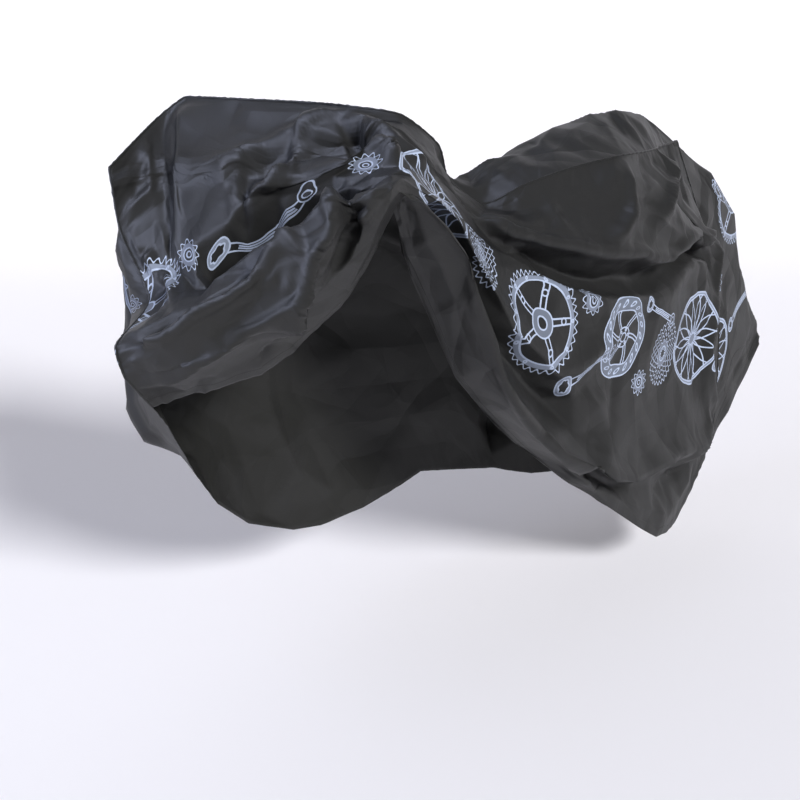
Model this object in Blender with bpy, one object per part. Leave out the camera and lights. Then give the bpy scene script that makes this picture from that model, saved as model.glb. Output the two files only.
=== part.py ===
"""Bicycle cover, a thin coated cloth bag draped over a mountain bike and hitched up over its near grip.

Two side panels are sewn together up the front, along the top and down the rear, and are open below.
Sizes in the tables are millimetres on the floor the bike stands on: x from the front wheel to the
rear wheel, y across, with the near side negative, z up. The part's own origin is its rest, the point
under its top where the saddle carries it.
"""

import math

import bmesh
import bpy
import numpy as np
from mathutils import Vector

MM = 0.001
CLOTH_T = 1.2 * MM  # the built thickness of the cloth
SEAM_GAP = 0.8 * MM  # the clear gap between the two panels along their seam
REST = Vector((300.0, -80.0, 935.0)) * MM  # under the top, over the saddle
CELLS_ALONG = 56  # cells from the front seam to the rear seam
CELLS_DOWN = 20  # cells from the top seam to the hem
SEAM_FADE = 60.0  # a fold dies away over this many millimetres as it nears a seam
FOLD_END = 0.25  # the share of its height that a fold keeps at its two ends

# Each row is one section, from the front to the rear, and each column is a line that runs along the cover.
NEAR_LINES = ("seam", "shoulder", "waist", "roll", "belly", "hem")
NEAR = {
    "front seam": ((-575, 170, 960), (-589, 131, 870), (-598, 56, 780),
                   (-723, -34, 761), (-712, -34, 709), (-665, -30, 648)),
    "lever": ((-438, 240, 1000), (-503, 140, 919), (-575, 20, 807),
              (-690, -80, 791), (-702, -90, 731), (-635, -60, 664)),
    "far bar end": ((-364, 250, 1030), (-462, 140, 951), (-562, -20, 820),
                    (-645, -140, 836), (-657, -150, 775), (-597, -100, 680)),
    "bar far half": ((-338, 120, 1039), (-445, 20, 960), (-541, -80, 862),
                     (-586, -180, 868), (-589, -190, 797), (-523, -120, 690)),
    "bar centre": ((-289, 20, 1040), (-403, -60, 973), (-467, -130, 911),
                   (-518, -220, 908), (-521, -220, 840), (-445, -130, 723)),
    "bar near half": ((-297, -80, 1048), (-365, -140, 1002), (-423, -180, 959),
                      (-469, -260, 950), (-461, -250, 874), (-395, -160, 774)),
    "inboard of grip": ((-250, -140, 1036), (-331, -190, 1001), (-391, -230, 984),
                        (-436, -290, 977), (-434, -280, 928), (-389, -220, 871)),
    "hitch": ((-175, -140, 983), (-272, -200, 974), (-350, -250, 985),
              (-394, -280, 988), (-380, -270, 973), (-365, -240, 928)),
    "behind grip": ((-102, -100, 903), (-147, -160, 891), (-183, -200, 885),
                    (-251, -255, 905), (-312, -272, 902), (-318, -205, 850)),
    "valley": ((-43, -120, 858), (-82, -160, 832), (-105, -190, 806),
               (-159, -235, 797), (-236, -265, 809), (-251, -190, 748)),
    "saddle nose": ((20, -150, 882), (-5, -180, 826), (0, -200, 755),
                    (-55, -235, 667), (-150, -264, 647), (-170, -190, 595)),
    "saddle": ((125, -165, 896), (105, -198, 825), (123, -218, 701),
               (109, -230, 551), (-27, -264, 488), (-42, -205, 449)),
    "saddle tail": ((258, -172, 898), (242, -200, 818), (281, -212, 664),
                    (284, -220, 481), (194, -245, 319), (186, -222, 267)),
    "wheel": ((368, -148, 884), (408, -168, 800), (503, -160, 683),
              (506, -170, 470), (451, -200, 281), (419, -200, 97)),
    "tail a": ((427, -128, 877), (468, -150, 767), (583, -132, 635),
               (583, -150, 445), (577, -160, 229), (518, -170, 89)),
    "tail b": ((456, -112, 872), (539, -130, 746), (637, -118, 616),
               (665, -125, 428), (640, -140, 249), (620, -145, 141)),
    "rear seam": ((556, -85, 866), (649, -80, 715), (729, -80, 584),
                  (734, -100, 438), (728, -110, 283), (703, -120, 186)),
}
FAR_LINES = ("crown", "shoulder", "waist", "skirt", "hem")
FAR = {
    "lever": ((-576, 160, 849), (-590, 130, 781), (-597, 100, 734), (-605, 60, 665), (-598, 30, 583)),
    "far bar end": ((-385, 285, 950), (-430, 275, 830), (-490, 235, 690), (-545, 170, 560), (-534, 60, 476)),
    "bar far half": ((-330, 255, 1000), (-340, 300, 860), (-370, 285, 680), (-415, 240, 500), (-448, 120, 372)),
    "bar centre": ((-262, 205, 975), (-245, 280, 830), (-260, 285, 640), (-285, 265, 450), (-257, 200, 217)),
    "bar near half": ((-205, 110, 935), (-150, 225, 800), (-150, 255, 610), (-165, 250, 420), (-84, 210, 173)),
    "inboard of grip": ((-150, 20, 900), (-75, 150, 770), (-55, 215, 600), (-65, 230, 410), (20, 210, 180)),
    "hitch": ((-90, -20, 885), (0, 95, 750), (30, 170, 590), (25, 200, 400), (90, 200, 200)),
    "behind grip": ((-44, -50, 885), (65, 65, 745), (105, 140, 580), (105, 180, 390), (150, 190, 215)),
    "valley": ((-7, -50, 896), (110, 50, 745), (175, 115, 570), (185, 160, 380), (205, 170, 200)),
    "saddle nose": ((73, -45, 912), (185, 35, 750), (255, 85, 560), (275, 130, 360), (270, 140, 195)),
    "saddle": ((171, -40, 925), (285, 20, 755), (330, 75, 555), (350, 110, 340), (365, 115, 160)),
    "saddle tail": ((300, -40, 942), (400, 20, 750), (450, 60, 545), (480, 90, 325), (500, 95, 130)),
    "wheel": ((413, -42, 942), (545, 20, 735), (610, 50, 525), (640, 70, 320), (665, 80, 130)),
    "tail a": ((499, -45, 913), (749, 15, 760), (810, 35, 525), (845, 40, 350), (850, 40, 195)),
    "tail b": ((602, -30, 849), (886, -10, 680), (911, -30, 535), (986, -40, 389), (989, -50, 345)),
}
NAMES = tuple(NEAR)
TENSION = 0.75  # below one, thin coated cloth runs straighter between its sections

# Each row is one fold that crosses a panel. Its path is given as (section, line) places, counted from the
# front seam and from the top seam; height is how far it stands out of the cloth, and above and below are
# how far it spreads toward the seam and toward the hem.
FOLDS = (
    # panel, name, path, height, above, below
    ("near", "tuck behind the roll", ((1.2, 2.4), (1.9, 1.95), (3.2, 1.65), (5.1, 1.75)), -55, 70, 75),
    ("near", "lip over the tuck", ((3.3, 1.3), (4.3, 1.2), (5.6, 1.0)), 22, 40, 45),
    ("near", "pleat in the top", ((4.9, 0.1), (4.2, 0.9), (3.1, 1.35)), 14, 50, 35),
    ("near", "edge under the far bar end", ((2.0, 0.1), (2.0, 0.95), (1.2, 1.6)), 20, 60, 60),
    ("near", "front facet", ((0.1, 1.0), (0.6, 1.8), (1.4, 2.5)), 22, 50, 50),
    ("near", "roll", ((0.3, 2.95), (1.4, 2.95), (2.7, 2.95), (4.2, 2.7), (6.2, 2.6)), 20, 60, 80),
    ("near", "flap under the roll", ((0.75, 4.3), (2.7, 3.95), (4.7, 3.5)), 16, 60, 60),
    ("near", "gather by the grip", ((4.7, 2.6), (4.6, 3.4), (3.4, 4.3)), -18, 50, 50),
    ("near", "ridge to the grip", ((5.4, 0.95), (6.6, 1.65)), 14, 45, 45),
    ("near", "lip of the saddle swag",
     ((8.4, 1.6), (9.5, 1.3), (11.2, 1.5), (12.5, 1.9), (14.0, 1.7), (15.1, 1.5)), 28, 90, 45),
    ("near", "hollow of the saddle swag",
     ((9.3, 1.5), (10.5, 1.9), (11.8, 1.85), (12.7, 2.1), (15.0, 1.75)), -30, 45, 60),
    ("near", "second ridge of the swag",
     ((9.5, 2.3), (10.5, 2.25), (11.8, 2.1), (12.6, 2.2), (15.0, 1.95)), 16, 50, 70),
    ("near", "crease below the top", ((12.1, 0.15), (12.0, 1.05), (11.3, 1.45)), 12, 50, 50),
    ("near", "crease from the rear corner", ((15.1, 0.2), (13.2, 0.8), (12.4, 1.4)), 14, 45, 45),
    ("near", "upright fold at the rear",
     ((15.6, 1.4), (14.4, 2.3), (14.4, 2.7), (14.2, 3.2), (14.8, 4.2)), 18, 45, 45),
    ("near", "low swag", ((10.9, 3.9), (12.4, 3.95), (13.6, 4.0), (14.4, 3.7)), 18, 60, 50),
    ("near", "hollow of the low swag", ((11.3, 4.15), (12.2, 4.3), (13.1, 4.4), (14.0, 4.25)), -14, 45, 45),
    ("near", "turn of the hem", ((7.6, 3.95), (9.0, 4.0), (10.2, 4.0), (11.6, 4.1)), 9, 50, 40),
    ("near", "crease from the hem", ((10.1, 3.75), (10.7, 3.05), (11.5, 2.75)), 12, 50, 50),
    ("far", "fold under the bar end", ((1.8, 0.5), (2.0, 2.0), (2.4, 4.6)), 25, 70, 70),
    ("far", "hollow behind the bar", ((4.0, 0.8), (4.4, 2.5), (4.6, 4.8)), -25, 80, 80),
    ("far", "swag to the saddle", ((5.0, 1.3), (7.5, 2.0), (10.5, 1.5)), -22, 70, 90),
    ("far", "fold under the saddle", ((11.0, 1.7), (10.6, 2.6), (10.2, 4.8)), 24, 80, 80),
    ("far", "hollow by the wheel", ((12.7, 1.9), (13.0, 2.8), (13.2, 4.8)), -20, 80, 80),
    ("far", "fold at the tail", ((14.2, 2.0), (14.4, 3.0), (14.4, 4.6)), 14, 50, 60),
)


def knots(*panels):
    """How far apart the rows of the panels lie on average, added up from the first row."""
    step = np.mean([np.linalg.norm(np.diff(p, axis=0), axis=2).mean(axis=1) for p in panels], axis=0)
    return np.concatenate(([0.0], np.cumsum(step)))


def through(at, marks, rows):
    """Smooth lines through the rows, which lie at the marks."""
    k = np.clip(np.searchsorted(marks, at, side="right") - 1, 0, len(marks) - 2)
    slope = np.gradient(rows, marks, axis=0) * TENSION
    h = (marks[k + 1] - marks[k])[:, None, None]
    t = ((at - marks[k]) / (marks[k + 1] - marks[k]))[:, None, None]
    start, end = rows[k], rows[k + 1]
    return (
        (2 * t**3 - 3 * t**2 + 1) * start
        + (t**3 - 2 * t**2 + t) * h * slope[k]
        + (3 * t**2 - 2 * t**3) * end
        + (t**3 - t**2) * h * slope[k + 1]
    )


def surface(table, along, down, marks_along, marks_down):
    """The cloth's outer face as a grid of points."""
    lines = through(along, marks_along, table)
    return through(down, marks_down, lines.transpose(1, 0, 2)).transpose(1, 0, 2)


def normals(points, side):
    u = np.gradient(points, axis=0)
    v = np.gradient(points, axis=1)
    n = np.cross(u, v) * side
    return n / np.linalg.norm(n, axis=2, keepdims=True)


def smooth(x):
    x = np.clip(x, 0.0, 1.0)
    return x * x * (3 - 2 * x)


def fold_height(panel, along, down, marks_along, marks_down):
    """How far the panel's folds move each point of its grid out of the cloth."""
    a, d = np.meshgrid(along, down, indexing="ij")
    total = np.zeros_like(a)
    for owner, _name, path, height, above, below in FOLDS:
        if owner != panel:
            continue
        pa = np.interp([p[0] for p in path], range(len(marks_along)), marks_along)
        pd = np.interp([p[1] for p in path], range(len(marks_down)), marks_down)
        best = np.full_like(a, np.inf)
        lift = np.zeros_like(a)
        length = np.concatenate(([0.0], np.cumsum(np.hypot(np.diff(pa), np.diff(pd)))))
        for i in range(len(path) - 1):
            ea, ed = pa[i + 1] - pa[i], pd[i + 1] - pd[i]
            span = math.hypot(ea, ed)
            t = np.clip(((a - pa[i]) * ea + (d - pd[i]) * ed) / span**2, 0.0, 1.0)
            oa, od = a - pa[i] - t * ea, d - pd[i] - t * ed
            dist = np.hypot(oa, od)
            side = (ea * od - ed * oa) / span
            reach = np.where(side > 0, below, above)
            here = (length[i] + t * span) / length[-1]
            shape = height * smooth(1 - dist / reach) * np.minimum(1.0, 4 * here * (1 - here) + FOLD_END)
            lift = np.where(dist < best, shape, lift)
            best = np.minimum(best, dist)
        total += lift
    edge = np.minimum(np.minimum(a - along[0], along[-1] - a), d)
    return total * smooth(edge / SEAM_FADE)


def cloth_panel(name, outer, inner, material):
    """A closed sheet between two grids of points: a bmesh grid, its turned copy, and the rim between them."""
    bm = bmesh.new()
    bmesh.ops.create_grid(bm, x_segments=CELLS_ALONG, y_segments=CELLS_DOWN, size=1.0)
    inside = {}
    for v in bm.verts:
        i = round((v.co.x + 1) / 2 * CELLS_ALONG)
        j = round((v.co.y + 1) / 2 * CELLS_DOWN)
        v.co = Vector(outer[i, j]) * MM - REST
        inside[v] = Vector(inner[i, j]) * MM - REST
    bmesh.ops.triangulate(bm, faces=bm.faces[:], quad_method="SHORT_EDGE")
    copy = bmesh.ops.duplicate(bm, geom=bm.verts[:] + bm.edges[:] + bm.faces[:])
    for v, place in inside.items():
        copy["vert_map"][v].co = place
    bmesh.ops.bridge_loops(bm, edges=[e for e in bm.edges if e.is_boundary])
    bmesh.ops.recalc_face_normals(bm, faces=bm.faces)
    mesh = bpy.data.meshes.new(name)
    bm.to_mesh(mesh)
    bm.free()
    mesh.materials.append(material)
    obj = bpy.data.objects.new(name, mesh)
    cover.objects.link(obj)
    return obj


for old in list(bpy.data.objects):
    bpy.data.objects.remove(old)
cover = bpy.data.collections.new("bicycle_cover")
bpy.context.scene.collection.children.link(cover)

cloth = bpy.data.materials.new("coated polyester")
cloth.use_nodes = True
shader = cloth.node_tree.nodes["Principled BSDF"]
shader.inputs["Base Color"].default_value = (0.022, 0.023, 0.025, 1.0)
shader.inputs["Roughness"].default_value = 0.45

near = np.array([NEAR[name] for name in NAMES], dtype=float)
far = near.copy()
for row, name in enumerate(NAMES):
    if name in FAR:
        far[row, 1:] = FAR[name]
marks_along = knots(near, far)
marks_down = knots(near.transpose(1, 0, 2), far.transpose(1, 0, 2))
along = np.linspace(0.0, marks_along[-1], CELLS_ALONG + 1)
down = np.linspace(0.0, marks_down[-1], CELLS_DOWN + 1)

outer, normal = {}, {}
for panel, table, side in (("near", near, -1), ("far", far, 1)):
    flat = surface(table, along, down, marks_along, marks_down)
    lift = fold_height(panel, along, down, marks_along, marks_down)
    outer[panel] = flat + normals(flat, side) * lift[:, :, None]
    normal[panel] = normals(outer[panel], side)

# Along the seams both panels share one normal, and each is drawn back from the other.
ends = ((0, 1), (CELLS_ALONG, CELLS_ALONG - 1))
sewn = [(i, 0, i, 1) for i in range(1, CELLS_ALONG)]
sewn += [(end, j, inward, j) for end, inward in ends for j in range(1, CELLS_DOWN + 1)]
sewn += [(end, 0, inward, 1) for end, inward in ends]
apart = {}
for i, j, ni, nj in sewn:
    here, to_near, to_far = outer["near"][i, j], outer["near"][ni, nj], outer["far"][ni, nj]
    shared = (2 * here - to_near - to_far) / np.linalg.norm(to_near - to_far)
    if i == ni or j == nj:  # not a corner, where the two faces lie back to back
        shared += normal["near"][i, j] + normal["far"][i, j]
    normal["near"][i, j] = normal["far"][i, j] = shared / np.linalg.norm(shared)
    back, on = (j - 1, j + 1) if ni != i else (i - 1, i + 1)
    seam = outer["near"][:, 0] if ni == i else outer["near"][i]
    run = seam[min(on, len(seam) - 1)] - seam[max(back, 0)]
    across = to_near - to_far
    across -= run * (across @ run) / (run @ run)
    apart[i, j] = across / np.linalg.norm(across) * SEAM_GAP / MM / 2

for panel, sign in (("near", 1), ("far", -1)):
    inner = outer[panel] - normal[panel] * CLOTH_T / MM
    for (i, j), step in apart.items():
        outer[panel][i, j] += sign * step
        inner[i, j] += sign * step
    cloth_panel(f"panel_{panel}", outer[panel], inner, cloth)
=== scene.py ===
# %% [markdown]
# # A bicycle cover, draped
#
# A bicycle cover is two side panels of thin coated polyester, sewn together up the front, along the top
# and down the rear, and left open below. Here it hangs as it does in use: pulled down over both ends, and
# hitched up on the near side, with its hem rolled up.
#
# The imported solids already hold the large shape. This script lays two fine sheets of cloth on that
# shape, lets a short cloth simulation settle their slack into wrinkles, and sews and prints them.

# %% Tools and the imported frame
import math

import bmesh
import bpy
import numpy as np
from mathutils import Matrix, Vector
from mathutils.geometry import delaunay_2d_cdt


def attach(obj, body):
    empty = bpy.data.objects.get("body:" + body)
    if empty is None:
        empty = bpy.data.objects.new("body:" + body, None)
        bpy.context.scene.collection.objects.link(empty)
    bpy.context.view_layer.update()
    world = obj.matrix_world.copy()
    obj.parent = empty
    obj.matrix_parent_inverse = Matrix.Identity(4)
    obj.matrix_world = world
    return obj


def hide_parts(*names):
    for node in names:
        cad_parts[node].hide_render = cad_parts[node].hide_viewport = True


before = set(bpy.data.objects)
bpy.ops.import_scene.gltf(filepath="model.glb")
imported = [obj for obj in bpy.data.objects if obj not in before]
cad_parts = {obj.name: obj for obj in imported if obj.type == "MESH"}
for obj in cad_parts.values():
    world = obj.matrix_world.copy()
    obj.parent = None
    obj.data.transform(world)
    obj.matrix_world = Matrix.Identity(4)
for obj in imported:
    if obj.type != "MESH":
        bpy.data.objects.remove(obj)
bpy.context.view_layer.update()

# %% [markdown]
# ## The camera
#
# The frame's origin is under the cover's top, 0.935 m above the floor. The camera stands at the eye height
# of a person, in front of the cover and to its near side, and looks down at it. Its lens is a short
# telephoto, so the front end isn't stretched.

# %% Camera
MM = 0.001
REST = Vector((300.0, -80.0, 935.0)) * MM  # the frame's origin, in the floor measures that the tables use
CAMERA_PLACE = Vector((-1.8437, -1.732, 1.4772)) - REST
CAMERA_DOWN = math.radians(21.9)  # how far it looks down
CAMERA_ROUND = math.radians(-44.98)  # how far it is turned from looking along +Y
CAMERA_ROLL = math.radians(0.25)
LENS = 66.985  # millimetres, for a sensor 36 mm wide

camera = bpy.data.objects.new("camera", bpy.data.cameras.new("camera"))
camera.location = CAMERA_PLACE
camera.rotation_euler = (math.pi / 2 - CAMERA_DOWN, CAMERA_ROLL, CAMERA_ROUND)
camera.data.sensor_width = 36.0
camera.data.lens = LENS
bpy.context.scene.collection.objects.link(camera)
bpy.context.scene.camera = camera
print("camera at", [round(v, 2) for v in CAMERA_PLACE])

# %% [markdown]
# ## Floor, walls and light
#
# The studio is white paper that runs from the floor up behind the object in one sweep, so no line shows
# there. It is one grid: the rows past the bend are turned up. Pale walls stand round it for the camera
# alone, so a view from behind looks at the studio and not past it.
#
# A wide key light shapes the folds, and a weaker sky light fills from the left. Coated cloth also needs
# something bright to mirror, so two more lamps show only in its gloss: a strip over the front and a window
# on the left, which draw the pale streaks. The key light is kept out of the gloss, where it would glint.

# %% Helpers: a colour, a node, a material and an object
def linear(hex_colour):
    """Turn an sRGB hex colour such as "#46474a" into the linear RGBA that a shader wants."""
    channels = [int(hex_colour[i : i + 2], 16) / 255 for i in (1, 3, 5)]
    return (*[c / 12.92 if c <= 0.04045 else ((c + 0.055) / 1.055) ** 2.4 for c in channels], 1.0)


def node(tree, kind, sockets=None, **settings):
    """Add a node of the kind "ShaderNode" + kind, set its properties, and set or link its sockets.

    Where a socket is given a node, it is linked to the first of that node's outputs that is in use.
    """
    new = tree.nodes.new(kind if kind.startswith("NodeGroup") else "ShaderNode" + kind)
    for name, value in settings.items():
        setattr(new, name, value)
    for name, value in (sockets or {}).items():
        if isinstance(value, bpy.types.Node):
            value = next(output for output in value.outputs if output.enabled)
        if isinstance(value, bpy.types.NodeSocket):
            tree.links.new(value, new.inputs[name])
        else:
            new.inputs[name].default_value = value
    return new


def material(name, **sockets):
    """A new material with its Principled shader's own sockets set."""
    new = bpy.data.materials.new(name)
    new.use_nodes = True
    shader = new.node_tree.nodes["Principled BSDF"]
    for socket, value in sockets.items():
        shader.inputs[socket.replace("_", " ")].default_value = value
    return new, new.node_tree, shader


def add_object(name, bm, *materials):
    """Make an object of the scene from a bmesh, which is then freed."""
    mesh = bpy.data.meshes.new(name)
    bm.to_mesh(mesh)
    bm.free()
    for finish in materials:
        mesh.materials.append(finish)
    obj = bpy.data.objects.new(name, mesh)
    bpy.context.scene.collection.objects.link(obj)
    return obj


print("the screen's mid grey is", round(linear("#808080")[0], 3), "in linear light")

# %% Paper floor, in one sweep up behind the object
FLOOR = -REST.z  # its height in the frame
SWEEP_SIZE = 14.0
SWEEP_START = 2.0  # the bend starts this far behind the origin
SWEEP_BEND = 2.0  # the radius of the bend

paper, paper_tree, paper_shader = material(
    "matte background paper",
    Base_Color=linear("#d7d6da"),
    Roughness=0.9,
    Emission_Color=linear("#f4f2fa"),
    Emission_Strength=0.2,
)
grain = node(paper_tree, "TexNoise", {"Scale": 400.0, "Detail": 2.0})
paper_bump = node(paper_tree, "Bump", {"Strength": 0.05, "Distance": 0.5 * MM, "Height": grain})
paper_tree.links.new(paper_bump.outputs["Normal"], paper_shader.inputs["Normal"])

bm = bmesh.new()
bmesh.ops.create_grid(bm, x_segments=2, y_segments=80, size=SWEEP_SIZE / 2)
for v in bm.verts:
    past = max(v.co.y - SWEEP_START, 0.0)  # how far the point lies past the start of the bend
    turn = min(past / SWEEP_BEND, math.pi / 2)
    v.co.y += SWEEP_BEND * math.sin(turn) - past
    v.co.z = FLOOR + SWEEP_BEND * (1 - math.cos(turn)) + past - SWEEP_BEND * turn
bmesh.ops.rotate(bm, verts=bm.verts, cent=(0, 0, 0), matrix=Matrix.Rotation(CAMERA_ROUND, 3, "Z"))
sweep = add_object("sweep", bm, paper)
sweep.data.shade_smooth()
print("paper", SWEEP_SIZE, "m wide, with its bend", SWEEP_START, "m behind the cover")

# %% Pale walls all round, which only the camera sees
WALL_RADIUS = 6.6
WALL_HEIGHT = 9.0

plaster, _tree, _shader = material(
    "pale studio wall",
    Base_Color=linear("#000000"),
    Roughness=1.0,
    Emission_Color=linear("#f0eff5"),
    Emission_Strength=1.0,
)
bm = bmesh.new()
bmesh.ops.create_cone(
    bm, cap_ends=False, segments=96, radius1=WALL_RADIUS, radius2=WALL_RADIUS, depth=WALL_HEIGHT
)
bmesh.ops.translate(bm, verts=bm.verts, vec=(0.0, 0.0, FLOOR + WALL_HEIGHT / 2))
walls = add_object("walls", bm, plaster)
walls.visible_diffuse = False
walls.visible_glossy = False
walls.visible_shadow = False
print("walls", 2 * WALL_RADIUS, "m apart and", WALL_HEIGHT, "m high")

# %% Lamps and sky
LAMPS = (
    # kind, name, place in metres, size in metres or degrees, strength, colour, what it lights
    ("SUN", "key light, through a wide scrim", (-0.5, -2.1, 1.35), 12.0, 4.4, "#ffffff", "diffuse"),
    ("AREA", "sky light, left", (-2.5, 0.4, 1.6), 2.0, 22.0, "#dce4ff", "both"),
    ("AREA", "strip light over the front", (-1.2, 0.1, 1.6), 0.9, 46.0, "#d6dfff", "gloss"),
    ("AREA", "window, left", (-2.7, 1.0, 0.4), 1.3, 62.0, "#d6dfff", "gloss"),
)
for kind, name, place, size, strength, colour, lights in LAMPS:
    lamp = bpy.data.objects.new(name, bpy.data.lights.new(name, kind))
    lamp.data.energy = strength
    lamp.data.color = linear(colour)[:3]
    if kind == "SUN":
        lamp.data.angle = math.radians(size)
    else:
        lamp.data.size = size
    lamp.visible_glossy = lights != "diffuse"
    lamp.visible_diffuse = lights != "gloss"
    lamp.location = place
    lamp.rotation_euler = (-Vector(place)).to_track_quat("-Z", "Y").to_euler()
    bpy.context.scene.collection.objects.link(lamp)

world = bpy.data.worlds.new("studio")
world.use_nodes = True
world.node_tree.nodes["Background"].inputs["Color"].default_value = linear("#f1f0f6")
world.node_tree.nodes["Background"].inputs["Strength"].default_value = 0.1
bpy.context.scene.world = world
bpy.context.scene.view_settings.view_transform = "Standard"
print(len(LAMPS), "lamps, and the view transform", bpy.context.scene.view_settings.view_transform)

# %% [markdown]
# ## The cloth's large shape
#
# A draped cover has no simple formula, but it can be measured at a few stations, as a boat's hull is.
# Each station is a section that runs down from the top seam to the hem, and the lines tie the same place
# on one section to the next. The measures are millimetres from a point on the floor. Both panels share
# the top seam, the front seam and the rear seam, so the far panel lists only what differs.

# %% Sections of the two panels
NEAR = {
    # places on the top seam, shoulder, waist, roll, belly and hem
    "front seam": ((-575, 170, 960), (-589, 131, 870), (-598, 56, 780),
                   (-723, -34, 761), (-712, -34, 709), (-665, -30, 648)),
    "lever": ((-438, 240, 1000), (-503, 140, 919), (-575, 20, 807),
              (-690, -80, 791), (-702, -90, 731), (-635, -60, 664)),
    "far bar end": ((-364, 250, 1030), (-462, 140, 951), (-562, -20, 820),
                    (-645, -140, 836), (-657, -150, 775), (-597, -100, 680)),
    "bar far half": ((-338, 120, 1039), (-445, 20, 960), (-541, -80, 862),
                     (-586, -180, 868), (-589, -190, 797), (-523, -120, 690)),
    "bar centre": ((-289, 20, 1040), (-403, -60, 973), (-467, -130, 911),
                   (-518, -220, 908), (-521, -220, 840), (-445, -130, 723)),
    "bar near half": ((-297, -80, 1048), (-365, -140, 1002), (-423, -180, 959),
                      (-469, -260, 950), (-461, -250, 874), (-395, -160, 774)),
    "inboard of grip": ((-250, -140, 1036), (-331, -190, 1001), (-391, -230, 984),
                        (-436, -290, 977), (-434, -280, 928), (-389, -220, 871)),
    "hitch": ((-175, -140, 983), (-272, -200, 974), (-350, -250, 985),
              (-394, -280, 988), (-380, -270, 973), (-365, -240, 928)),
    "behind grip": ((-102, -100, 903), (-147, -160, 891), (-183, -200, 885),
                    (-251, -255, 905), (-312, -272, 902), (-318, -205, 850)),
    "valley": ((-43, -120, 858), (-82, -160, 832), (-105, -190, 806),
               (-159, -235, 797), (-236, -265, 809), (-251, -190, 748)),
    "saddle nose": ((20, -150, 882), (-5, -180, 826), (0, -200, 755),
                    (-55, -235, 667), (-150, -264, 647), (-170, -190, 595)),
    "saddle": ((125, -165, 896), (105, -198, 825), (123, -218, 701),
               (109, -230, 551), (-27, -264, 488), (-42, -205, 449)),
    "saddle tail": ((258, -172, 898), (242, -200, 818), (281, -212, 664),
                    (284, -220, 481), (194, -245, 319), (186, -222, 267)),
    "wheel": ((368, -148, 884), (408, -168, 800), (503, -160, 683),
              (506, -170, 470), (451, -200, 281), (419, -200, 97)),
    "tail a": ((427, -128, 877), (468, -150, 767), (583, -132, 635),
               (583, -150, 445), (577, -160, 229), (518, -170, 89)),
    "tail b": ((456, -112, 872), (539, -130, 746), (637, -118, 616),
               (665, -125, 428), (640, -140, 249), (620, -145, 141)),
    "rear seam": ((556, -85, 866), (649, -80, 715), (729, -80, 584),
                  (734, -100, 438), (728, -110, 283), (703, -120, 186)),
}
FAR = {
    # places on the crown, shoulder, waist, skirt and hem; its top seam is the near panel's
    "lever": ((-576, 160, 849), (-590, 130, 781), (-597, 100, 734), (-605, 60, 665), (-598, 30, 583)),
    "far bar end": ((-385, 285, 950), (-430, 275, 830), (-490, 235, 690),
                    (-545, 170, 560), (-534, 60, 476)),
    "bar far half": ((-330, 255, 1000), (-340, 300, 860), (-370, 285, 680),
                     (-415, 240, 500), (-448, 120, 372)),
    "bar centre": ((-262, 205, 975), (-245, 280, 830), (-260, 285, 640), (-285, 265, 450), (-257, 200, 217)),
    "bar near half": ((-205, 110, 935), (-150, 225, 800), (-150, 255, 610),
                      (-165, 250, 420), (-84, 210, 173)),
    "inboard of grip": ((-150, 20, 900), (-75, 150, 770), (-55, 215, 600), (-65, 230, 410), (20, 210, 180)),
    "hitch": ((-90, -20, 885), (0, 95, 750), (30, 170, 590), (25, 200, 400), (90, 200, 200)),
    "behind grip": ((-44, -50, 885), (65, 65, 745), (105, 140, 580), (105, 180, 390), (150, 190, 215)),
    "valley": ((-7, -50, 896), (110, 50, 745), (175, 115, 570), (185, 160, 380), (205, 170, 200)),
    "saddle nose": ((73, -45, 912), (185, 35, 750), (255, 85, 560), (275, 130, 360), (270, 140, 195)),
    "saddle": ((171, -40, 925), (285, 20, 755), (330, 75, 555), (350, 110, 340), (365, 115, 160)),
    "saddle tail": ((300, -40, 942), (400, 20, 750), (450, 60, 545), (480, 90, 325), (500, 95, 130)),
    "wheel": ((413, -42, 942), (545, 20, 735), (610, 50, 525), (640, 70, 320), (665, 80, 130)),
    "tail a": ((499, -45, 913), (749, 15, 760), (810, 35, 525), (845, 40, 350), (850, 40, 195)),
    "tail b": ((602, -30, 849), (886, -10, 680), (911, -30, 535), (986, -40, 389), (989, -50, 345)),
}
NAMES = tuple(NEAR)
near_table = np.array([NEAR[name] for name in NAMES], dtype=float)
far_table = near_table.copy()
for row, name in enumerate(NAMES):
    if name in FAR:
        far_table[row, 1:] = FAR[name]
SIDES = {"near": (near_table, -1), "far": (far_table, 1)}  # each panel's table, and which way it faces
print(near_table.shape[0], "sections, with", near_table.shape[1], "lines on each")

# %% [markdown]
# Between the sections the cloth is a smooth surface. A cubic curve runs through the marks, first along
# the cover and then down each section. Its tension is under one, because thin coated cloth runs
# straighter between two holds than a sprung wire does.

# %% Smooth surfaces through the sections
TENSION = 0.75
# how sharply a panel bends at each section and at each line: 0 is smooth, and 1 is a sharp edge
SECTION_CREASES = (0, 0, 0.75, 0, 0, 0, 0, 0, 0, 0, 0, 0, 0, 0.2, 0.3, 0.2, 0)
LINE_CREASES = {"near": (0.0, 0.0, 0.0, 0.3, 0.95, 0.0), "far": 0.0}


def knots(*panels):
    """How far apart the rows of the panels lie on average, added up from the first row."""
    step = np.mean([np.linalg.norm(np.diff(p, axis=0), axis=2).mean(axis=1) for p in panels], axis=0)
    return np.concatenate(([0.0], np.cumsum(step)))


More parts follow.
